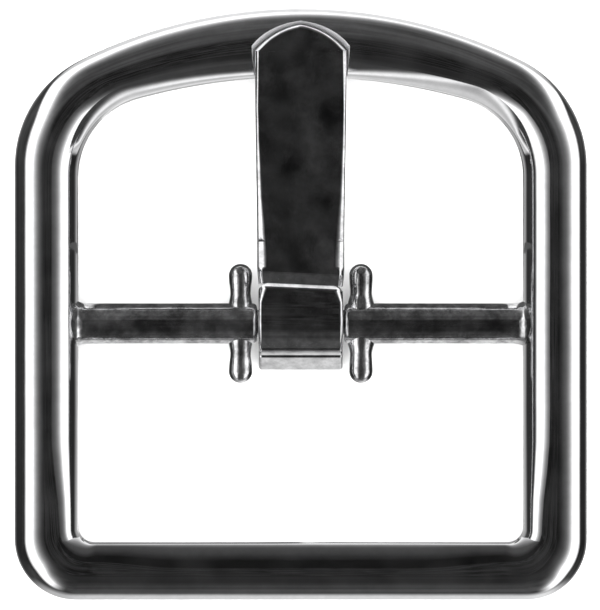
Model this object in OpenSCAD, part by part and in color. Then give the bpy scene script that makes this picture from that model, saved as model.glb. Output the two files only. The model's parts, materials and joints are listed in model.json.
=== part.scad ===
// Centre-bar belt buckle for a 35 mm strap.
// X runs along the centre bar, Y towards the arched top rail, +Z out of the front face.
// The origin is the middle of the frame's outline, on the plane of its flat back.

/* [Frame] */
// Overall width across the side rails
overall_w = 46; // [40:0.5:60]
// Overall height from the bottom rail to the top of the arch
overall_h = 47.5; // [42:0.5:60]
// Thickness from the flat back to the crest of the rails
frame_t = 5; // [4.6:0.1:6]
// Height of the straight edge below the domed front
edge_h = 2.8; // [2:0.1:3.2]
// Width of the side rails
side_rail_w = 5; // [4:0.1:6.5]
// Width of the top rail at its middle
top_rail_w = 5.35; // [5:0.05:6.5]
// Width of the bottom rail
bottom_rail_w = 4.5; // [3.5:0.1:6]
// Radius of the outer bottom corners
bottom_corner_r = 4.9; // [3:0.1:7]
// Radius of the window's bottom corners
window_corner_r = 1.25; // [0.5:0.05:3]
// Radius of the outer shoulders, between a side rail and the arch
shoulder_r = 9.5; // [7:0.5:12]
// Radius of the window's shoulders
window_shoulder_r = 6.5; // [4:0.5:9]
// Radius of the arch along the top edge
arch_r = 40; // [34:1:60]
// Radius of the arch along the window's top edge
window_arch_r = 50; // [40:1:70]
// Chamfer round the edges of the back
back_chamfer = 0.3; // [0.1:0.05:0.5]

/* [Centre bar] */
// Height of the bar's axis above the outer edge of the bottom rail
bar_up = 22.2; // [20:0.1:26]
// Diameter of the bar
bar_d = 3.25; // [3:0.05:3.6]
// Diameter of the necked journal that the tongue turns on
journal_d = 2.2; // [1.6:0.1:2.8]
// Rounding of the bar's shoulders
shoulder_round = 0.4; // [0.2:0.05:0.45]
// Diameter of the brazed fillet where the bar meets a side rail
fillet_d = 3.75; // [3.65:0.05:4.2]
// Length of the brazed fillet along the bar
fillet_l = 0.9; // [0.5:0.1:2]
// How far the bar and its fillet are let into a side rail
let_in = 0.45; // [0.3:0.05:0.7]
// Diameter of the spigot on each end of the bar
spigot_d = 2; // [1.4:0.1:2.4]
// Length of the spigot beyond the let-in end
spigot_l = 1.4; // [0.8:0.1:1.8]
// Radial clearance of the spigots and the let-in ends in their sockets
socket_clear = 0.03; // [0.02:0.01:0.08]

/* [Stop lugs] */
// Diameter of the round-ended lugs that cross the bar
lug_d = 1.9; // [1.4:0.1:2.4]
// Reach of a lug from the bar's axis to its domed end
lug_reach = 4.8; // [4:0.1:6]
// Gap along the bar between a lug and the shoulder beside it
lug_gap = 0.4; // [0.1:0.05:1]

/* [Tongue] */
// Width of the blade behind its tip
tongue_w = 7.3; // [6:0.1:9]
// Width of the loop that closes round the journal
loop_w = 6.6; // [5.4:0.1:8.4]
// How far the blade's root stands wider than the loop, each side
root_step = 0.2; // [0:0.05:0.3]
// Thickness of the blade
blade_t = 1.9; // [1.4:0.1:2.2]
// How far the blade's face stands above the crest of the rails
blade_proud = 0.2; // [0:0.05:0.4]
// Distance from the tip back to the outer edge of the top rail
tip_setback = 1.4; // [1.1:0.05:2]
// Radius of each flank of the pointed tip
tip_flank_r = 6; // [5:0.25:9]
// Sideways offset of each flank's centre, which gives the tip its point
tip_flank_offset = 0.98; // [0.2:0.02:1.6]
// Sideways play of the loop between the bar's shoulders, each side
side_play = 0.2; // [0.1:0.05:0.3]
// Radial running clearance of the loop on the journal
journal_clear = 0.07; // [0.03:0.01:0.1]
// Wall of the loop behind the journal
loop_back_wall = 0.9; // [0.7:0.05:1.1]
// Height of the loop's back above the plane of the frame's back
loop_back_gap = 0.1; // [0.05:0.05:0.3]
// Step from the blade's face down to the front of the loop
loop_step = 0.35; // [0.2:0.05:0.5]
// Reach of the loop's nose below the bar's axis
nose_reach = 3.8; // [3.4:0.1:4.4]
// Height above the bar's axis of the crease between the blade and the loop
crease_up = 3; // [2.8:0.1:3.4]
// Length of the slope from the blade's face down to the crease
slope_l = 0.9; // [0.5:0.1:1.5]
// Width of the seam where the bent end of the loop meets the blade
seam_w = 0.12; // [0.08:0.02:0.2]

/* [Tongue seat] */
// Gap between the blade and each side of the seat in the top rail
seat_side_gap = 0.25; // [0.15:0.05:0.4]
// Gap between the tip and the end of the seat
seat_tip_gap = 0.5; // [0.3:0.05:0.7]
// Gap between the underside of the blade and the floor of the seat
seat_floor_gap = 0.05; // [0.03:0.01:0.1]

/* [Hidden] */

// Number of flats in the arc of a corner, of an arch and of the domed front
corner_steps = 10;
arch_steps = 14;
dome_steps = 14;
// Number of flats in an arc of the loop's outline
loop_steps = 8;
// Extra length that carries a cut clear of the surface it leaves
over = 1;
round_fn = 96;

half_w = overall_w / 2;
top_y = overall_h / 2;
bottom_y = -overall_h / 2;
window_half_w = half_w - side_rail_w;
window_top_y = top_y - top_rail_w;
window_bottom_y = bottom_y + bottom_rail_w;

bar_y = bottom_y + bar_up;
journal_r = journal_d / 2;
bore_r = journal_r + journal_clear;
bar_z = loop_back_gap + loop_back_wall + bore_r;
bar_r = bar_d / 2;
bar_end_x = window_half_w + let_in;
journal_l = loop_w + 2 * side_play;
shoulder_fillet = min(shoulder_round, bar_r - journal_r);

blade_top = frame_t + blade_proud;
blade_bottom = blade_top - blade_t;
tip_y = top_y - tip_setback;
crease_y = bar_y + crease_up;
tongue_root_w = loop_w + 2 * root_step;
loop_front = blade_top - loop_step;
lug_x = journal_l / 2 + lug_gap + lug_d / 2;

// Corner radii of the loop's side view: front of the nose, back of the nose, bent end
nose_front_r = 0.85;
nose_back_r = 1.5;
bent_end_r = 1.2;
// How far the front of the nose leans back towards the bar
nose_lean = 0.25;
bent_end_y = bar_y + bore_r + bent_end_r;
seam_z = min(blade_bottom, bar_z + bore_r) - seam_w;

// Points of an arc about c, from angle a0 to angle a1
function arc(c, r, a0, a1, n) =
    [for (i = [0:n]) let (a = a0 + (a1 - a0) * i / n) c + r * [cos(a), sin(a)]];

// Direction, from both centres, in which the left-hand outer tangent line touches two circles
function tangent_angle(c1, r1, c2, r2) =
    let (d = c2 - c1) atan2(d.y, d.x) + acos((r1 - r2) / norm(d));

// Right half of a closed rounded outline, from the middle of its bottom to the middle of its top.
// The shoulder circle touches the side and lies inside the arch circle, so the two arcs are tangent.
function half_outline(w, y0, y1, r_corner, r_shoulder, r_arch) =
    let (
        arch_c = [0, y1 - r_arch],
        shoulder_x = w - r_shoulder,
        shoulder_c = [shoulder_x, arch_c.y + sqrt(pow(r_arch - r_shoulder, 2) - shoulder_x * shoulder_x)],
        meet = atan2(shoulder_c.y - arch_c.y, shoulder_x)
    )
    concat(
        [[0, y0]],
        arc([w - r_corner, y0 + r_corner], r_corner, -90, 0, corner_steps),
        arc(shoulder_c, r_shoulder, 0, meet, corner_steps),
        [for (i = [1:arch_steps]) arch_c + r_arch * [cos(meet + (90 - meet) * i / arch_steps),
                                                     sin(meet + (90 - meet) * i / arch_steps)]]
    );

// The whole outline, made from its right half and that half's mirror image
function full_outline(half) =
    concat(half, [for (i = [len(half) - 2:-1:1]) [-half[i].x, half[i].y]]);

outer_outline = full_outline(half_outline(half_w, bottom_y, top_y,
                                          bottom_corner_r, shoulder_r, arch_r));
window_outline = full_outline(half_outline(window_half_w, window_bottom_y, window_top_y,
                                           window_corner_r, window_shoulder_r, window_arch_r));

// One section of a rail, from the outer point o to the window point i:
// the chamfered back edge, the straight edge, the dome, and the same again on the window side
function rail_section(o, i) =
    let (across = (i - o) / norm(i - o), c = back_chamfer)
    concat(
        [[o.x + across.x * c, o.y + across.y * c, 0], [o.x, o.y, c]],
        [for (k = [0:dome_steps]) let (a = 180 * k / dome_steps, s = (1 - cos(a)) / 2)
            [o.x + (i.x - o.x) * s, o.y + (i.y - o.y) * s, edge_h + (frame_t - edge_h) * sin(a)]],
        [[i.x, i.y, c], [i.x - across.x * c, i.y - across.y * c, 0]]
    );

// The closed ring of rails, one section for each point of the outline
module rail_ring() {
    sections = [for (k = [0:len(outer_outline) - 1]) rail_section(outer_outline[k], window_outline[k])];
    n = len(sections);
    m = len(sections[0]);
    polyhedron(
        points = [for (s = sections) for (p = s) p],
        faces = [for (k = [0:n - 1]) for (j = [0:m - 1]) let (k2 = (k + 1) % n, j2 = (j + 1) % m)
            [k * m + j, k * m + j2, k2 * m + j2, k2 * m + j]]
    );
}

// Plan of the blade's pointed end, grown by side_gap and tip_gap, from y_root up to the tip
module blade_plan(w_tip, w_root, y_root, side_gap, tip_gap) {
    apex_y = tip_y + tip_gap;
    flank_r = tip_flank_r + side_gap;
    flank_y = apex_y - sqrt(flank_r * flank_r - tip_flank_offset * tip_flank_offset);
    intersection() {
        polygon([[-w_root / 2 - side_gap, y_root], [w_root / 2 + side_gap, y_root],
                 [w_tip / 2 + side_gap, window_top_y], [w_tip / 2 + side_gap, apex_y],
                 [-w_tip / 2 - side_gap, apex_y], [-w_tip / 2 - side_gap, window_top_y]]);
        union() {
            translate([-half_w, y_root - over])
                square([overall_w, flank_y - y_root + over]);
            intersection() {
                translate([-tip_flank_offset, flank_y])
                    circle(flank_r, $fn = round_fn);
                translate([tip_flank_offset, flank_y])
                    circle(flank_r, $fn = round_fn);
            }
        }
    }
}

// Stepped socket in the right side rail: the let-in end of the bar, then its spigot
module bar_socket() {
    translate([window_half_w - over, bar_y, bar_z])
        rotate([0, 90, 0]) {
            cylinder(h = over + let_in, d = fillet_d + 2 * socket_clear, $fn = round_fn);
            cylinder(h = over + let_in + spigot_l + socket_clear, d = spigot_d + 2 * socket_clear,
                     $fn = round_fn);
        }
}

// Cast loop of four rails, with the tongue's seat in the top rail
module frame() {
    color("silver")
        difference() {
            rail_ring();
            translate([0, 0, blade_bottom - seat_floor_gap])
                linear_extrude(frame_t)
                    blade_plan(tongue_w, tongue_w, window_top_y - over, seat_side_gap, seat_tip_gap);
            bar_socket();
            mirror([1, 0, 0])
                bar_socket();
        }
}

// Right half of the bar about its own axis: half the journal, the rounded shoulder,
// the bar, the brazed fillet, the let-in end and the spigot
module half_bar() {
    shoulder_x = journal_l / 2;
    fillet_x = window_half_w - fillet_l;
    rotate([0, 90, 0])
        rotate([0, 0, 90])
            rotate_extrude($fn = round_fn)
                polygon(concat(
                    [[0, 0], [journal_r, 0], [journal_r, shoulder_x]],
                    arc([bar_r - shoulder_fillet, shoulder_x + shoulder_fillet],
                        shoulder_fillet, -90, 0, loop_steps),
                    [[bar_r, fillet_x], [fillet_d / 2, window_half_w], [fillet_d / 2, bar_end_x],
                     [spigot_d / 2, bar_end_x], [spigot_d / 2, bar_end_x + spigot_l],
                     [0, bar_end_x + spigot_l]]
                ));
}

// Lug across the bar, a round peg with domed ends
module stop_lug() {
    straight = lug_reach - lug_d / 2;
    translate([lug_x, 0, 0]) {
        rotate([90, 0, 0])
            cylinder(h = 2 * straight, d = lug_d, center = true, $fn = round_fn);
        for (side = [-1, 1])
            translate([0, side * straight, 0])
                sphere(d = lug_d, $fn = round_fn);
    }
}

// Round bar with a necked journal in its middle and a lug across it on each side
module centre_bar() {
    color("gainsboro")
        translate([0, bar_y, bar_z])
            for (side = [0, 1])
                mirror([side, 0, 0]) {
                    half_bar();
                    stop_lug();
                }
}

// Side view of the loop, in Y and Z: a flat front, a squared nose and a bent end behind the bar
module loop_side() {
    nose_front = [bar_y - nose_reach + nose_back_r + nose_lean, loop_front - nose_front_r];
    nose_back = [bar_y - nose_reach + nose_back_r, loop_back_gap + nose_back_r];
    bent_end = [bent_end_y - bent_end_r, loop_back_gap + bent_end_r];
    lean = tangent_angle(nose_back, nose_back_r, nose_front, nose_front_r);
    polygon(concat(
        [[crease_y, loop_front]],
        arc(nose_front, nose_front_r, 90, lean, loop_steps),
        arc(nose_back, nose_back_r, lean, 270, loop_steps),
        arc(bent_end, bent_end_r, 270, 360, loop_steps),
        [[bent_end_y, blade_bottom], [crease_y, blade_bottom]]
    ));
}

// Flat blade with a pointed tip, and the loop that closes round the journal
module tongue() {
    color("lightgray")
        difference() {
            union() {
                translate([0, 0, blade_bottom])
                    linear_extrude(blade_t)
                        blade_plan(tongue_w, tongue_root_w, crease_y, 0, 0);
                rotate([90, 0, 90])
                    linear_extrude(loop_w, center = true)
                        loop_side();
            }
            rotate([90, 0, 90])
                linear_extrude(overall_w, center = true)
                    polygon([[crease_y, loop_front], [crease_y + slope_l, blade_top],
                             [crease_y + slope_l, blade_top + over], [crease_y - over, blade_top + over],
                             [crease_y - over, loop_front]]);
            translate([0, bar_y, bar_z])
                rotate([0, 90, 0])
                    cylinder(h = overall_w, r = bore_r, center = true, $fn = round_fn);
            translate([-half_w, bar_y, seam_z])
                cube([overall_w, bent_end_y - bar_y + over, seam_w]);
        }
}

frame();
centre_bar();
tongue();
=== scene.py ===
"""A centre-bar belt buckle: plated frame, centre bar and tongue, laid face up.

X runs along the bar, Y towards the arched top rail, +Z out of the front face. All sizes are in metres.
"""

import json
import math

import bmesh
import bpy
from mathutils import Matrix, Vector


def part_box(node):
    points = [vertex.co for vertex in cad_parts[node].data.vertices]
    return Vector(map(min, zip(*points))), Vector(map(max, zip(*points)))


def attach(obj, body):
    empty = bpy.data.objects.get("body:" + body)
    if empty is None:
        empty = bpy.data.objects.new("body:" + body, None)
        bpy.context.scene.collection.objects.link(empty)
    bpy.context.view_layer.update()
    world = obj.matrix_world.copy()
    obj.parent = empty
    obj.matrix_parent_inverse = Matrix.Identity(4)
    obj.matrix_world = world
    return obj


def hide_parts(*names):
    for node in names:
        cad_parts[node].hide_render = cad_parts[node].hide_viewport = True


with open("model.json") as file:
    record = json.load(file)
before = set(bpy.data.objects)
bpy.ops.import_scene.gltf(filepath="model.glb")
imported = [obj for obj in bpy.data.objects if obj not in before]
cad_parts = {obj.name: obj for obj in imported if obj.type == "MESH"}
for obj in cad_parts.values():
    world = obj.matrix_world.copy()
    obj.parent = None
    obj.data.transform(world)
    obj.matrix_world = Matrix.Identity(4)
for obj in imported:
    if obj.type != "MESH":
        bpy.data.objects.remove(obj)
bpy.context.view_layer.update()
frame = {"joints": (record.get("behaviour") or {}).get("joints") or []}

MM = 0.001

# --- Sizes of the frame, from the imported model and given values ---
frame_low, frame_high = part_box("frame")
bar_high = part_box("centre_bar")[1]
tongue_low, tongue_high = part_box("tongue")
hinge = frame["joints"][0]

HALF_W = frame_high.x
TOP_Y = frame_high.y
BOTTOM_Y = frame_low.y
FRAME_T = frame_high.z
EDGE_H = 2.8 * MM
SIDE_RAIL_W = 5.0 * MM
TOP_RAIL_W = 5.35 * MM
BOTTOM_RAIL_W = 4.5 * MM
BOTTOM_CORNER_R = 4.9 * MM
WINDOW_CORNER_R = 1.25 * MM
SHOULDER_R = 9.5 * MM
WINDOW_SHOULDER_R = 6.5 * MM
ARCH_R = 40 * MM
WINDOW_ARCH_R = 50 * MM
BACK_ROUND = 0.3 * MM

WINDOW_HALF_W = HALF_W - SIDE_RAIL_W
WINDOW_TOP_Y = TOP_Y - TOP_RAIL_W
WINDOW_BOTTOM_Y = BOTTOM_Y + BOTTOM_RAIL_W

# --- Sizes of the bar ---
BAR_Y = hinge["pos_m"][1]
BAR_Z = hinge["pos_m"][2]
BAR_R = 1.625 * MM
JOURNAL_R = 1.1 * MM
SHOULDER_X = 3.5 * MM
SHOULDER_ROUND = 0.4 * MM
FILLET_R = 1.85 * MM
FILLET_L = 1.1 * MM
LUG_R = 0.95 * MM
LUG_X = 4.85 * MM
LUG_REACH = bar_high.y - BAR_Y
SPIGOT_R = 1.0 * MM

# --- Sizes of the tongue ---
TIP_Y = tongue_high.y
BLADE_TOP = tongue_high.z
BLADE_T = 1.9 * MM
BLADE_BOTTOM = BLADE_TOP - BLADE_T
BLADE_HALF_W = tongue_high.x
ROOT_HALF_W = 3.48 * MM
LOOP_HALF_W = 3.38 * MM
TIP_FLANK_R = 6.0 * MM
TIP_FLANK_OFFSET = 0.98 * MM
LOOP_FRONT = BLADE_TOP - 0.35 * MM
LOOP_BACK = tongue_low.z
CREASE_Y = BAR_Y + 2.88 * MM
CREASE_Z = LOOP_FRONT - 0.36 * MM
CREASE_SKEW = 0.045
SLOPE_TOP_Y = CREASE_Y + 1.15 * MM
LIP_W = 0.2 * MM
NECK_TOP_Y = CREASE_Y + 1.5 * MM
BORE_R = JOURNAL_R + 0.07 * MM
SEAM_W = 0.12 * MM
BENT_END_R = 1.2 * MM


# --- Mesh helpers ---
def arc(centre, radius, start, end, steps):
    """Points of an arc in a plane, from angle start to angle end in degrees."""
    points = []
    for i in range(steps + 1):
        a = math.radians(start + (end - start) * i / steps)
        points.append(Vector((centre[0] + radius * math.cos(a), centre[1] + radius * math.sin(a))))
    return points


def smoothstep(low, high, value):
    """0 below low, 1 above high, and a smooth rise between them."""
    t = min(max((value - low) / (high - low), 0.0), 1.0)
    return t * t * (3 - 2 * t)


def loft(sections, closed=False, end_cap=True):
    """Extrudes one closed ring from section to section, and joins the ends or caps them."""
    bm = bmesh.new()
    ring = [bm.verts.new(p) for p in sections[0]]
    edges = [bm.edges.new((ring[i - 1], ring[i])) for i in range(len(ring))]
    if not closed:
        bmesh.ops.contextual_create(bm, geom=edges)
    steps = sections[1:] + ([sections[0]] if closed else [])
    for section in steps:
        grown = bmesh.ops.extrude_edge_only(bm, edges=edges)["geom"]
        fresh = {g for g in grown if isinstance(g, bmesh.types.BMVert)}
        ring = [next(e.other_vert(v) for e in v.link_edges if e.other_vert(v) in fresh) for v in ring]
        for vert, place in zip(ring, section):
            vert.co = place
        edges = [bm.edges.get((ring[i - 1], ring[i])) for i in range(len(ring))]
    if end_cap and not closed:
        bmesh.ops.contextual_create(bm, geom=edges)
    bmesh.ops.remove_doubles(bm, verts=bm.verts, dist=1e-7)
    bmesh.ops.recalc_face_normals(bm, faces=bm.faces)
    return bm


def to_object(bm, name):
    mesh = bpy.data.meshes.new(name)
    bm.to_mesh(mesh)
    bm.free()
    obj = bpy.data.objects.new(name, mesh)
    bpy.context.scene.collection.objects.link(obj)
    return obj


def boolean(obj, other, operation):
    """Joins other to obj, or cuts it out of obj, and removes it."""
    mod = obj.modifiers.new(operation.lower(), "BOOLEAN")
    mod.object = other
    mod.operation = operation
    mod.solver = "EXACT"
    graph = bpy.context.evaluated_depsgraph_get()
    mesh = bpy.data.meshes.new_from_object(obj.evaluated_get(graph))
    obj.modifiers.clear()
    obj.data = mesh
    bpy.data.objects.remove(other)
    return obj


def shade(obj, crisp_above):
    """Merges doubles, and shades smooth but crisp where faces meet at more than crisp_above degrees."""
    bm = bmesh.new()
    bm.from_mesh(obj.data)
    bmesh.ops.remove_doubles(bm, verts=bm.verts, dist=1e-7)
    limit = math.radians(crisp_above)
    for face in bm.faces:
        face.smooth = True
    for edge in bm.edges:
        edge.smooth = len(edge.link_faces) == 2 and edge.calc_face_angle(0) < limit
    bm.to_mesh(obj.data)
    bm.free()


def mark_satin(obj, is_satin):
    """Marks the faces that never saw the polishing wheel."""
    layer = obj.data.attributes.new("satin", "FLOAT", "FACE")
    for face in obj.data.polygons:
        layer.data[face.index].value = 1.0 if is_satin(face) else 0.0


def two_slots(obj, index):
    """Gives a mesh two empty slots and puts its faces in one of them, to tell them apart after a cut."""
    obj.data.materials.append(None)
    obj.data.materials.append(None)
    for face in obj.data.polygons:
        face.material_index = index
    return obj


def hold_flats(obj):
    """Lets the large flat faces keep their own direction, so that only the roundings bend the light."""
    mod = obj.modifiers.new("flat_faces", "WEIGHTED_NORMAL")
    mod.weight = 80
    mod.keep_sharp = True


# --- Frame ---
CORNER_STEPS = 18
ARCH_STEPS = 36
SIDE_STEPS = 12
DOME_STEPS = 36
ROUND_STEPS = 3


def half_outline(half_w, y0, y1, corner_r, shoulder_r, arch_r):
    """Right half of the frame's outline, from the middle of the bottom to the middle of the top."""
    arch_y = y1 - arch_r
    shoulder_x = half_w - shoulder_r
    shoulder_y = arch_y + math.sqrt((arch_r - shoulder_r) ** 2 - shoulder_x ** 2)
    meet = math.degrees(math.atan2(shoulder_y - arch_y, shoulder_x))
    corner_y = y0 + corner_r
    points = [Vector(((half_w - corner_r) * i / SIDE_STEPS, y0)) for i in range(SIDE_STEPS)]
    points += arc((half_w - corner_r, corner_y), corner_r, -90, 0, CORNER_STEPS)
    side = (shoulder_y - corner_y) / SIDE_STEPS
    points += [Vector((half_w, corner_y + side * i)) for i in range(1, SIDE_STEPS)]
    points += arc((shoulder_x, shoulder_y), shoulder_r, 0, meet, CORNER_STEPS)
    points += arc((0, arch_y), arch_r, meet, 90, ARCH_STEPS)[1:]
    return points


def full_outline(half):
    return half + [Vector((-p.x, p.y)) for p in half[-2:0:-1]]


def fullness(inner):
    """Shape of the dome's window side: 2 is elliptical, and more is fuller, near the low corners."""
    corner = Vector((WINDOW_HALF_W, WINDOW_BOTTOM_Y))
    reach = (Vector((abs(inner.x), inner.y)) - corner).length
    return 2 + 1.2 * smoothstep(8.5 * MM, 1 * MM, reach)


def rail_section(outer, inner):
    """Section of a rail: rounded back edge, straight edge, dome, and the same on the window side."""
    across = (inner - outer).normalized()
    power = 2 / fullness(inner)
    section = []
    for p in arc((BACK_ROUND, BACK_ROUND), BACK_ROUND, -90, -180, ROUND_STEPS):
        flat = outer + across * p.x
        section.append(Vector((flat.x, flat.y, p.y)))
    for i in range(DOME_STEPS + 1):
        a = math.pi * i / DOME_STEPS
        sideways = max(math.cos(a), 0.0) if i <= DOME_STEPS / 2 else -(-math.cos(a)) ** power
        rise = math.sin(a) if i <= DOME_STEPS / 2 else max(math.sin(a), 0.0) ** power
        flat = outer.lerp(inner, (1 - sideways) / 2)
        section.append(Vector((flat.x, flat.y, EDGE_H + (FRAME_T - EDGE_H) * rise)))
    for p in arc((BACK_ROUND, BACK_ROUND), BACK_ROUND, -180, -90, ROUND_STEPS):
        flat = inner - across * p.x
        section.append(Vector((flat.x, flat.y, p.y)))
    return section


def blade_outline(side_gap, tip_gap, root_y):
    """Plan of the tongue's pointed end, from its right root corner round the tip to the left one."""
    apex_y = TIP_Y + tip_gap
    flank_r = TIP_FLANK_R + side_gap
    flank_y = apex_y - math.sqrt(flank_r ** 2 - TIP_FLANK_OFFSET ** 2)
    half_w = BLADE_HALF_W + side_gap
    top = math.degrees(math.atan2(apex_y - flank_y, TIP_FLANK_OFFSET))
    low = math.degrees(math.acos((half_w + TIP_FLANK_OFFSET) / flank_r))
    flank = arc((-TIP_FLANK_OFFSET, flank_y), flank_r, low, top, 16)
    right = [Vector((half_w, root_y + (flank[0].y - root_y) * i / 8)) for i in range(8)] + flank
    return right + [Vector((-p.x, p.y)) for p in right[-2::-1]]


def seat_cutter():
    """Solid that sinks the tongue's seat into the top rail, with a rim that leans outwards."""
    floor_z = BLADE_BOTTOM - 0.05 * MM
    rim_z = FRAME_T - 0.75 * MM
    above_z = FRAME_T + 0.3 * MM
    lean = (above_z - rim_z) / (FRAME_T - rim_z)
    levels = (
        (0.10, 0.10, floor_z),
        (0.14, 0.16, rim_z),
        (0.14 + 0.13 * lean, 0.16 + 0.42 * lean, above_z),
    )
    sections = []
    for side_gap, tip_gap, z in levels:
        outline = blade_outline(side_gap * MM, tip_gap * MM, WINDOW_TOP_Y - 1 * MM)
        sections.append([Vector((p.x, p.y, z)) for p in outline])
    return to_object(loft(sections), "seat_cutter")


def make_frame():
    outer = full_outline(half_outline(HALF_W, BOTTOM_Y, TOP_Y, BOTTOM_CORNER_R, SHOULDER_R, ARCH_R))
    inner = full_outline(half_outline(WINDOW_HALF_W, WINDOW_BOTTOM_Y, WINDOW_TOP_Y,
                                      WINDOW_CORNER_R, WINDOW_SHOULDER_R, WINDOW_ARCH_R))
    bm = loft([rail_section(o, i) for o, i in zip(outer, inner)], closed=True)
    casting = two_slots(to_object(bm, "frame_casting"), 0)
    obj = boolean(casting, two_slots(seat_cutter(), 1), "DIFFERENCE")
    shade(obj, 30)
    mark_satin(obj, lambda face: face.material_index == 1)
    return obj


# --- Centre bar ---
def revolve(profile, axis, name):
    """Turns a half profile, given as (along, radius), round an axis through the origin."""
    bm = bmesh.new()
    side = Vector((0, 0, 1))
    verts = [bm.verts.new(axis * along + side * radius) for along, radius in profile]
    edges = [bm.edges.new(pair) for pair in zip(verts, verts[1:])]
    bmesh.ops.spin(bm, geom=verts + edges, cent=(0, 0, 0), axis=axis, dvec=(0, 0, 0), angle=2 * math.pi,
                   steps=96, use_merge=True, use_duplicate=False)
    bmesh.ops.remove_doubles(bm, verts=bm.verts, dist=1e-7)
    bmesh.ops.recalc_face_normals(bm, faces=bm.faces)
    return to_object(bm, name)


def bar_profile():
    """Right half of the bar: journal, rounded shoulder, bar, fillet, and the end let into the rail."""
    centre = (SHOULDER_X + SHOULDER_ROUND, BAR_R - SHOULDER_ROUND)
    shoulder = [(p.x, p.y) for p in arc(centre, SHOULDER_ROUND, 180, 90, 8)]
    flare = []
    for i in range(9):
        t = i / 8
        flare.append((WINDOW_HALF_W - FILLET_L * (1 - t), BAR_R + (FILLET_R - BAR_R) * t ** 3))
    end_x = WINDOW_HALF_W + 0.45 * MM
    ends = [(end_x, FILLET_R), (end_x, SPIGOT_R), (bar_high.x, SPIGOT_R), (bar_high.x, 0)]
    return [(0, JOURNAL_R), (SHOULDER_X, JOURNAL_R)] + shoulder + flare + ends


def lug_profile(waist_r, flare):
    """Half profile of a lug along Y: flared into the bar, a slight waist, and a bead-like end."""
    straight = LUG_REACH - LUG_R
    dome = [(straight + p.x, p.y) for p in arc((0, 0), LUG_R, 90, 0, 16)]
    neck = []
    for i in range(13):
        along = 0.9 * MM + (straight - 0.9 * MM) * i / 12
        root = smoothstep(2.6 * MM, 0.9 * MM, along) * flare
        bead = smoothstep(2.1 * MM, straight, along)
        neck.append((along, waist_r + (LUG_R - waist_r) * bead + root))
    half = neck[:-1] + dome
    return [(-along, radius) for along, radius in half[::-1]] + half


def make_bar():
    right = bar_profile()
    left = [(-along, radius) for along, radius in right[:0:-1]]
    bar = revolve(left + right, Vector((1, 0, 0)), "bar_casting")
    for side, waist_r, flare in ((-1, 0.80 * MM, 0.25 * MM), (1, 0.86 * MM, 0.35 * MM)):
        lug = revolve(lug_profile(waist_r, flare), Vector((0, 1, 0)), "lug")
        lug.data.transform(Matrix.Translation((side * LUG_X, 0, 0)))
        boolean(bar, lug, "UNION")
    bar.data.transform(Matrix.Translation((0, BAR_Y, BAR_Z)))
    shade(bar, 30)
    return bar


# --- Tongue ---
def blade_half_width(y):
    """Half width of the blade before its pointed end: it narrows a little towards the loop."""
    taper = smoothstep(CREASE_Y + 2 * MM, WINDOW_TOP_Y, y)
    root = ROOT_HALF_W + (BLADE_HALF_W - ROOT_HALF_W) * taper
    return LOOP_HALF_W + (root - LOOP_HALF_W) * smoothstep(CREASE_Y, NECK_TOP_Y, y)


def blade_face(y):
    """Height of the blade's face, which slopes down to the crease."""
    rise = (y - CREASE_Y - LIP_W) / (SLOPE_TOP_Y - CREASE_Y - LIP_W)
    return CREASE_Z + (BLADE_TOP - CREASE_Z) * min(rise, 1.0)


def edge_round(y):
    """Radius of the blade's long edges: small along the blade and larger on the neck."""
    return (0.30 + 0.55 * smoothstep(NECK_TOP_Y + 0.15 * MM, NECK_TOP_Y - 0.2 * MM, y)) * MM


def edge_facet(y):
    """Width of the sloping facet inside the rounded edge: it widens towards the neck and stops there."""
    wide = 0.09 + 0.2 * smoothstep(16 * MM, 8 * MM, y) + 0.33 * smoothstep(9 * MM, 3.5 * MM, y)
    return (0.03 + (wide - 0.03) * smoothstep(NECK_TOP_Y - 0.2 * MM, NECK_TOP_Y + 0.2 * MM, y)) * MM


def blade_edge(y):
    """Section of one long edge as (inset, height): back edge, side, rounding, facet and face."""
    face = blade_face(y)
    radius = edge_round(y)
    tip = smoothstep(TIP_Y - 5.4 * MM, TIP_Y - 4.2 * MM, y)
    strip = (edge_facet(y) + 0.12 * MM * tip) / 3
    lean = [math.radians(d) for d in (32 + 18 * tip, 23 + 20 * tip, 13 + 14 * tip)]
    fall = sum(strip * math.tan(a) for a in lean)
    last = 36 + 18 * tip
    centre = face - fall - radius * math.cos(math.radians(last))
    section = [(0.12 * MM, BLADE_BOTTOM), (0.0, BLADE_BOTTOM + 0.12 * MM)]
    for i in range(10):
        a = math.radians(90 - (90 - last) * i / 9)
        section.append((radius * (1 - math.sin(a)), centre + radius * math.cos(a)))
    inset, height = section[-1]
    for a in lean:
        inset += strip
        height += strip * math.tan(a)
        section.append((inset, height))
    section.append((inset + 0.10 * MM, height))
    return section


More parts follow.
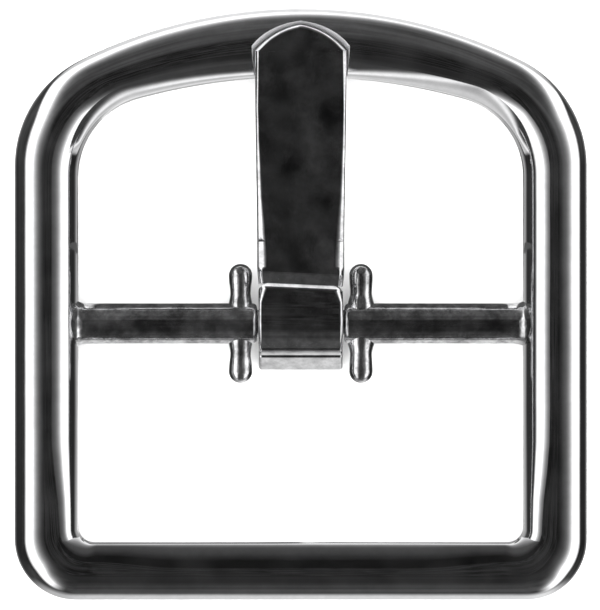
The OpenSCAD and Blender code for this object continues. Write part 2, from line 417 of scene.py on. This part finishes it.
def make_blade():
    """Blade as sections from its root to its tip, each made of a right edge and a left edge."""
    root_y = CREASE_Y + LIP_W
    plan = blade_outline(0, 0, root_y)
    count = len(plan)
    middle = count // 2
    stations = [root_y + (SLOPE_TOP_Y + 0.6 * MM - root_y) * i / 24 for i in range(24)]
    stations += [p.y for p in plan[:middle + 1] if p.y > stations[-1] + 0.1 * MM]
    right = []
    for y in stations:
        on_plan = [p for p in plan[:middle + 1] if abs(p.y - y) < 1e-9]
        straight = y < WINDOW_TOP_Y
        right.append(Vector((blade_half_width(y), y)) if straight or not on_plan else on_plan[0])
    rings = []
    for i, p in enumerate(right):
        after = right[min(i + 1, len(right) - 1)]
        before = right[max(i - 1, 0)]
        along = (after - before).normalized()
        inward = Vector((-along.y, along.x)) if i < len(right) - 1 else Vector((0, -1))
        if p.y < WINDOW_TOP_Y:
            inward = Vector((-1, 0))
        points = []
        for inset, z in blade_edge(p.y):
            q = p + inward * inset
            points.append(Vector((max(q.x, 0), q.y, z)))
        rings.append(points + [Vector((-q.x, q.y, q.z)) for q in points[::-1]])
    return to_object(loft(rings, end_cap=False), "tongue_casting")


# The loop's front as (distance below the crease in mm, lean in degrees), and its foot as (lean, run in mm).
FRONT_LEANS = (
    (0.0, -14), (0.2, -4), (0.8, -2), (1.15, 0), (1.5, -7), (1.71, -10), (2.03, -7), (2.27, -9),
    (2.6, -4), (2.83, 1), (3.15, 14), (3.56, 27), (4.0, 36), (4.36, 41), (4.84, 42), (5.1, 46),
    (5.22, 56), (5.38, 63), (5.47, 68),
)
FOOT_RUNS = ((12, 0.15), (56, 0.12), (62, 0.18), (64, 0.24), (66, 0.24), (69, 0.20))


def loop_profile():
    """Side view of the loop, in Y and Z, from the blade's underside round the nose to the seam."""
    points = [Vector((CREASE_Y + LIP_W, BLADE_BOTTOM)), Vector((CREASE_Y + LIP_W, CREASE_Z))]
    heights = [0.0]
    for (at, lean), (next_at, next_lean) in zip(FRONT_LEANS, FRONT_LEANS[1:]):
        heights.append(heights[-1] - (next_at - at) * math.tan(math.radians((lean + next_lean) / 2)))
    drop = LOOP_FRONT / MM - max(heights)
    for (at, _), height in zip(FRONT_LEANS, heights):
        points.append(Vector((CREASE_Y - at * MM, (height + drop) * MM)))
    for degrees, run in FOOT_RUNS:
        last = points[-1]
        points.append(Vector((last.x - run * MM, last.y - run * MM * math.tan(math.radians(degrees)))))
    foot_r = (points[-1].y - LOOP_BACK) / (1 + math.sin(math.radians(20)))
    foot_y = points[-1].x + foot_r * math.cos(math.radians(20))
    points += arc((foot_y, LOOP_BACK + foot_r), foot_r, 160, 270, 14)[1:]
    bent_y = BAR_Y + BORE_R + BENT_END_R
    points += arc((bent_y - BENT_END_R, LOOP_BACK + BENT_END_R), BENT_END_R, 270, 360, 12)
    points.append(Vector((bent_y, BLADE_BOTTOM - SEAM_W)))
    return points


def loop_bore():
    low = math.degrees(math.asin((BLADE_BOTTOM - SEAM_W - BAR_Z) / BORE_R))
    high = math.degrees(math.asin((BLADE_BOTTOM - BAR_Z) / BORE_R))
    return arc((BAR_Y, BAR_Z), BORE_R, low, high - 360, 64)


def loop_edge_round(p):
    """Radius of the loop's long edges: widest just below the crease, where the front is narrowest."""
    if p.y < BAR_Z:
        return 0.25 * MM
    return (0.28 + 0.5 * smoothstep(CREASE_Y - 1.3 * MM, CREASE_Y, p.x)) * MM


def make_loop():
    profile = loop_profile()
    bore = loop_bore()
    count = len(profile)
    rings = []
    for degrees in range(0, 91, 10):
        a = math.radians(degrees)
        ring = []
        for i, p in enumerate(profile):
            along = (profile[min(i + 1, count - 1)] - profile[max(i - 1, 0)]).normalized()
            inward = Vector((-along.y, along.x))
            radius = loop_edge_round(p)
            q = p + inward * radius * (1 - math.sin(a))
            ring.append(Vector((LOOP_HALF_W - radius * (1 - math.cos(a)), q.x, q.y)))
        for p in bore:
            ring.append(Vector((LOOP_HALF_W - 0.08 * MM * (1 - math.cos(a)), p.x, p.y)))
        rings.append(ring)
    mirrored = [[Vector((-p.x, p.y, p.z)) for p in ring] for ring in rings[::-1]]
    return to_object(loft(rings + mirrored), "loop")


def skew_crease(obj):
    """Turns the crease a little across the tongue, as the file cut left it."""
    for vert in obj.data.vertices:
        near = smoothstep(CREASE_Y - 1.5 * MM, CREASE_Y, vert.co.y)
        near *= smoothstep(NECK_TOP_Y, SLOPE_TOP_Y, vert.co.y)
        front = smoothstep(BLADE_BOTTOM + 0.3 * MM, CREASE_Z - 0.2 * MM, vert.co.z)
        vert.co.y -= CREASE_SKEW * vert.co.x * near * front


def in_crease(face):
    """True on the narrow step between the loop's front and the blade's slope."""
    step = CREASE_Y - 0.02 * MM < face.center.y < CREASE_Y + LIP_W + 0.01 * MM
    return step and face.center.z > CREASE_Z - 0.1 * MM


def make_tongue():
    tongue = boolean(make_blade(), make_loop(), "UNION")
    shade(tongue, 24)
    mark_satin(tongue, in_crease)
    skew_crease(tongue)
    hold_flats(tongue)
    return tongue


# --- Shader node helpers ---
def feed(tree, socket, value):
    """Gives a socket a plain value, or the output of another node."""
    if isinstance(value, bpy.types.NodeSocket):
        tree.links.new(value, socket)
        return
    socket.default_value = value


def maths(tree, operation, *values):
    node = tree.nodes.new("ShaderNodeMath")
    node.operation = operation
    for socket, value in zip(node.inputs, values):
        feed(tree, socket, value)
    return node.outputs[0]


def remap(tree, value, source=(0, 1), target=(0, 1), kind="LINEAR"):
    """Carries value from one range to another, and keeps it inside the second."""
    node = tree.nodes.new("ShaderNodeMapRange")
    node.interpolation_type = kind
    for name, limit in zip(("From Min", "From Max", "To Min", "To Max"), (*source, *target)):
        feed(tree, node.inputs[name], limit)
    feed(tree, node.inputs["Value"], value)
    return node.outputs["Result"]


def noise(tree, coords, scale, detail, roughness=0.5, stretch=None):
    """Brightness of a noise pattern, drawn out along an axis where stretch is given."""
    if stretch is not None:
        mapping = tree.nodes.new("ShaderNodeMapping")
        feed(tree, mapping.inputs["Scale"], stretch)
        feed(tree, mapping.inputs["Vector"], coords)
        coords = mapping.outputs["Vector"]
    pattern = tree.nodes.new("ShaderNodeTexNoise")
    feed(tree, pattern.inputs["Scale"], scale)
    feed(tree, pattern.inputs["Detail"], detail)
    feed(tree, pattern.inputs["Roughness"], roughness)
    feed(tree, pattern.inputs["Vector"], coords)
    return pattern.outputs["Fac"]


def bump(tree, height, distance, below=None, strength=1.0):
    """Direction of a surface raised by height, over another bump where one is given."""
    node = tree.nodes.new("ShaderNodeBump")
    feed(tree, node.inputs["Strength"], strength)
    feed(tree, node.inputs["Distance"], distance)
    feed(tree, node.inputs["Height"], height)
    if below is not None:
        feed(tree, node.inputs["Normal"], below)
    return node.outputs["Normal"]


def split_xyz(tree, coords):
    node = tree.nodes.new("ShaderNodeSeparateXYZ")
    feed(tree, node.inputs["Vector"], coords)
    return node.outputs


# --- Finishes ---
SATIN_ROUGHNESS = 0.5
SATIN_METALLIC = 0.75
LINE_DEPTH = 0.6e-6
LINE_STRENGTH = 0.2


def plating(name, colour, roughness, waviness, mottle, grain, tarnish):
    """Bright plating: long shallow waves, faint polishing lines, and roughness that varies in patches.

    Where the satin mark is set, the plating lies over an unpolished casting and scatters the light.
    """
    mat = bpy.data.materials.new(name)
    mat.use_nodes = True
    tree = mat.node_tree
    shader = tree.nodes["Principled BSDF"]
    shader.inputs["Metallic"].default_value = 1.0
    place = tree.nodes.new("ShaderNodeTexCoord").outputs["Object"]
    satin = tree.nodes.new("ShaderNodeAttribute")
    satin.attribute_name = "satin"
    satin_mark = satin.outputs["Fac"]

    patches = noise(tree, place, 350, 6)
    polish = remap(tree, patches, (0.35, 0.7), (roughness, roughness + mottle))
    feed(tree, shader.inputs["Roughness"], remap(tree, satin_mark, target=(polish, SATIN_ROUGHNESS)))
    feed(tree, shader.inputs["Metallic"], remap(tree, satin_mark, target=(1.0, SATIN_METALLIC)))

    stains = noise(tree, place, 800, 5, 0.65)
    tint = tree.nodes.new("ShaderNodeVectorMath")
    tint.operation = "SCALE"
    tint.inputs[0].default_value = colour
    feed(tree, tint.inputs["Scale"], remap(tree, stains, (0.35, 0.62), (1.0 - tarnish, 1.0)))
    feed(tree, shader.inputs["Base Color"], tint.outputs["Vector"])

    waves = bump(tree, noise(tree, place, 260, 1), waviness)
    pits = bump(tree, noise(tree, place, 1500, 3), grain, waves)
    lines = noise(tree, place, 1, 2, stretch=(9000, 900, 9000))
    feed(tree, shader.inputs["Normal"], bump(tree, lines, LINE_DEPTH, pits, LINE_STRENGTH))
    return mat


# --- Camera, light and floor ---
LOOK_DISTANCE = 0.35
VIEW_HEIGHT = 49.04 * MM
LOOK_AT = Vector((-0.06 * MM, -0.06 * MM, EDGE_H))


def make_camera():
    data = bpy.data.cameras.new("camera")
    data.sensor_width = 36
    data.lens = data.sensor_width * LOOK_DISTANCE / VIEW_HEIGHT
    data.clip_start = 0.01
    camera = bpy.data.objects.new("camera", data)
    camera.location = LOOK_AT + Vector((0, 0, LOOK_DISTANCE))
    bpy.context.scene.collection.objects.link(camera)
    bpy.context.scene.camera = camera


def make_floor():
    bm = bmesh.new()
    bmesh.ops.create_grid(bm, x_segments=1, y_segments=1, size=3)
    floor = to_object(bm, "floor")
    mat = bpy.data.materials.new("pale_floor")
    mat.use_nodes = True
    shader = mat.node_tree.nodes["Principled BSDF"]
    shader.inputs["Base Color"].default_value = (0.85, 0.85, 0.85, 1)
    shader.inputs["Roughness"].default_value = 0.9
    shader.inputs["Specular IOR Level"].default_value = 0.0
    floor.data.materials.append(mat)
    floor.visible_glossy = False


def glow_card(name, place, size, glow_of, fade=0.1 * MM):
    """Card that only the plating sees. glow_of makes its brightness from the card's own coordinates.

    Its left and right ends clear away over the width fade.
    """
    bm = bmesh.new()
    bmesh.ops.create_grid(bm, x_segments=1, y_segments=1, size=0.5)
    bmesh.ops.scale(bm, vec=(size[0], size[1], 1), verts=bm.verts)
    bmesh.ops.transform(bm, matrix=place, verts=bm.verts)
    card = to_object(bm, name)
    mat = bpy.data.materials.new(name)
    mat.use_nodes = True
    tree = mat.node_tree
    tree.nodes.clear()
    coords = tree.nodes.new("ShaderNodeTexCoord").outputs["Object"]
    glow = tree.nodes.new("ShaderNodeEmission")
    side = tree.nodes.new("ShaderNodeNewGeometry")
    clear = tree.nodes.new("ShaderNodeBsdfTransparent")
    mix = tree.nodes.new("ShaderNodeMixShader")
    out = tree.nodes.new("ShaderNodeOutputMaterial")
    feed(tree, glow.inputs["Strength"], glow_of(tree, coords))
    reach = maths(tree, "ABSOLUTE", split_xyz(tree, coords)["X"])
    ends = remap(tree, reach, (size[0] / 2 - fade, size[0] / 2), kind="SMOOTHSTEP")
    feed(tree, mix.inputs["Fac"], maths(tree, "MAXIMUM", side.outputs["Backfacing"], ends))
    feed(tree, mix.inputs[1], glow.outputs[0])
    feed(tree, mix.inputs[2], clear.outputs[0])
    feed(tree, out.inputs["Surface"], mix.outputs[0])
    card.data.materials.append(mat)
    card.visible_camera = False
    card.visible_diffuse = False
    card.visible_shadow = False
    card.visible_transmission = False


def cloudy(low, high, stretch):
    """Brightness that drifts between low and high in soft streaks along Y."""
    def build(tree, coords):
        return remap(tree, noise(tree, coords, 1, 5, 0.6, stretch), (0.42, 0.72), (low, high))
    return build


def by_height(stops, leans=()):
    """Brightness by height: stops are (height in mm, brightness) from low to high.

    leans are (slope, start in mm) pairs: beyond start, to the right or for a negative slope to the left,
    the whole grading climbs by slope.
    """
    def build(tree, coords):
        split = split_xyz(tree, coords)
        height = split["Z"]
        for slope, start in leans:
            climb = maths(tree, "MULTIPLY_ADD", split["X"], slope, -abs(slope) * start * MM)
            height = maths(tree, "SUBTRACT", height, maths(tree, "MAXIMUM", climb, 0.0))
        result = stops[0][1]
        for (low_z, low), (high_z, high) in zip(stops, stops[1:]):
            step = remap(tree, height, (low_z * MM, high_z * MM), (0.0, high - low))
            result = maths(tree, "ADD", result, step)
        return result
    return build


LENS_HOOD_Z = 150 * MM
LOW_FLAG_Y = -18.7 * MM
CROSS_FLAG_Y = 5 * MM
LOW_GRADES = (
    (1.4, 0.9), (2.3, 0.34), (2.9, 0.16), (3.4, 0.08), (4.4, 0.055), (5.2, 0.027), (6.4, 0.004),
    (13, 0.002),
)
BACK_GRADES = ((-70, 0.12), (0, 0.10))
FRONT_GRADES = (
    (-20, 0.7), (-14, 0.55), (-11, 0.55), (-9, 0.75), (-7, 1.05), (-5, 1.0), (-3.2, 0.7), (-1.6, 0.35),
    (-0.1, 0.15), (1.2, 0.08), (2.4, 0.05), (12, 0.04),
)


def make_cards():
    """A dark hood round the lens, and flags that keep light off the sides of the window."""
    hood = Matrix.Translation((0, 0, LENS_HOOD_Z)) @ Matrix.Rotation(math.pi, 4, "X")
    glow_card("lens_hood", hood, (70 * MM, 110 * MM), cloudy(0.003, 0.05, (330, 110, 100)))
    upright = Matrix.Rotation(math.radians(90), 4, "X")
    turned = Matrix.Rotation(math.radians(-90), 4, "X")
    near_rail = Matrix.Translation((0, LOW_FLAG_Y, 7.2 * MM)) @ upright
    low_glow = by_height(LOW_GRADES, ((1.6, 16.4), (-1.6, 16.4)))
    glow_card("low_flag", near_rail, (36.4 * MM, 11.6 * MM), low_glow)
    behind_tongue = Matrix.Translation((0, CROSS_FLAG_Y, -33.9 * MM)) @ upright
    glow_card("back_flag", behind_tongue, (34 * MM, 72.2 * MM), by_height(BACK_GRADES))
    facing_arch = Matrix.Translation((0, CROSS_FLAG_Y, -4 * MM)) @ turned
    front_glow = by_height(FRONT_GRADES, ((-0.85, 1.5), (2.2, 1.5)))
    glow_card("front_flag", facing_arch, (30 * MM, 32 * MM), front_glow, fade=7 * MM)


BACKDROP_STRENGTH = 3.6


def studio_light(tree, direction):
    """Soft panels left and right, a white sheet beyond the top rail, and a dim room elsewhere."""
    def calc(operation, *values):
        return maths(tree, operation, *values)

    def ramp(value, low, high, kind="SMOOTHSTEP"):
        return remap(tree, value, (low, high), kind=kind)

    def fall(value, low, high):
        return calc("SUBTRACT", 1.0, ramp(value, low, high))

    def times(*values):
        result = values[0]
        for value in values[1:]:
            result = calc("MULTIPLY", result, value)
        return result

    def total(*values):
        result = values[0]
        for value in values[1:]:
            result = calc("ADD", result, value)
        return result

    x, y, z = split_xyz(tree, direction)
    across = calc("MAXIMUM", calc("SQRT", calc("ADD", times(x, x), times(y, y))), 1e-5)
    heading = calc("DIVIDE", y, across)
    behind = calc("MULTIPLY", heading, -1.0)
    tilt = calc("DEGREES", calc("ARCCOSINE", z))
    east = ramp(calc("DIVIDE", x, across), -0.3, 0.3)
    beyond = ramp(heading, 0.45, 0.98)
    before = ramp(behind, 0.6, 1.0)
    front = ramp(behind, 0.65, 0.95)

    edge = total(39.0, times(east, 14.0), times(beyond, 55.0), times(before, 33.0))
    rise = calc("POWER", 2.0, calc("DIVIDE", calc("SUBTRACT", tilt, edge), 5.8))
    raised = times(ramp(heading, 0.38, 1.08), 100.0)
    far = total(72.0, times(east, 17.0), raised, times(before, 18.0))
    past = calc("SUBTRACT", tilt, far)
    sheet = times(calc("MINIMUM", rise, 1.3), fall(past, -6, 6), fall(behind, 0.84, 0.97))
    low_sheet = calc("MULTIPLY_ADD", ramp(heading, 0.6, 1.05), 0.5, 0.15)
    sheet_dim = calc("SUBTRACT", 1.0, times(ramp(tilt, 110, 126), calc("SUBTRACT", 1.0, low_sheet)))
    front_glow = times(front, ramp(tilt, 92, 122), calc("MULTIPLY_ADD", east, 0.3, 0.5))
    aside = calc("SUBTRACT", 1.0, calc("MAXIMUM", beyond, front))
    under = times(aside, ramp(tilt, 125, 165), 0.35)

    mottle = calc("MULTIPLY_ADD", ramp(noise(tree, direction, 3.0, 4), 0.3, 0.7), 0.9, 0.55)
    far_wall = times(ramp(tilt, 6, 26), calc("MULTIPLY_ADD", ramp(heading, -0.2, 0.6), 0.035, 0.02))
    near_wall = times(ramp(behind, 0.3, 1.0), ramp(tilt, 35, 95, "LINEAR"), 0.045)
    room = times(calc("ADD", far_wall, near_wall), mottle)
    return total(times(sheet, sheet_dim), front_glow, under, room, 0.004)


def make_studio():
    """Only mirrored rays see the studio. The rest of the scene has an even white backdrop."""
    world = bpy.data.worlds.new("studio")
    bpy.context.scene.world = world
    world.use_nodes = True
    tree = world.node_tree
    tree.nodes.clear()
    direction = tree.nodes.new("ShaderNodeTexCoord").outputs["Generated"]
    light = studio_light(tree, direction)
    path = tree.nodes.new("ShaderNodeLightPath")
    plain = tree.nodes.new("ShaderNodeBackground")
    plain.inputs["Color"].default_value = (0.95, 0.95, 0.95, 1)
    plain.inputs["Strength"].default_value = BACKDROP_STRENGTH
    mirrored = tree.nodes.new("ShaderNodeBackground")
    feed(tree, mirrored.inputs["Color"], light)
    mix = tree.nodes.new("ShaderNodeMixShader")
    feed(tree, mix.inputs["Fac"], path.outputs["Is Glossy Ray"])
    feed(tree, mix.inputs[1], plain.outputs[0])
    feed(tree, mix.inputs[2], mirrored.outputs[0])
    out = tree.nodes.new("ShaderNodeOutputWorld")
    feed(tree, out.inputs["Surface"], mix.outputs[0])


make_camera()
make_studio()
make_floor()
make_cards()
bpy.context.scene.view_settings.view_transform = "Standard"

frame_finish = plating("bright_frame_plating", (0.9, 0.9, 0.91), 0.03, 20e-6, 0.05, 0.3e-6, 0.08)
bar_finish = plating("bar_plating", (0.86, 0.86, 0.87), 0.05, 30e-6, 0.10, 12e-6, 0.6)
tongue_finish = plating("bright_tongue_plating", (0.9, 0.9, 0.91), 0.03, 12e-6, 0.06, 1.5e-6, 0.35)

for make, node, body, slot, finish in (
    (make_frame, "frame", "frame", "frame_plating", frame_finish),
    (make_bar, "centre_bar", "frame", "bar_plating", bar_finish),
    (make_tongue, "tongue", "tongue", "tongue_plating", tongue_finish),
):
    piece = make()
    piece.data.materials.clear()
    piece.data.materials.append(finish)
    for face in piece.data.polygons:
        face.material_index = 0
    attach(piece, body)
    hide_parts(node)
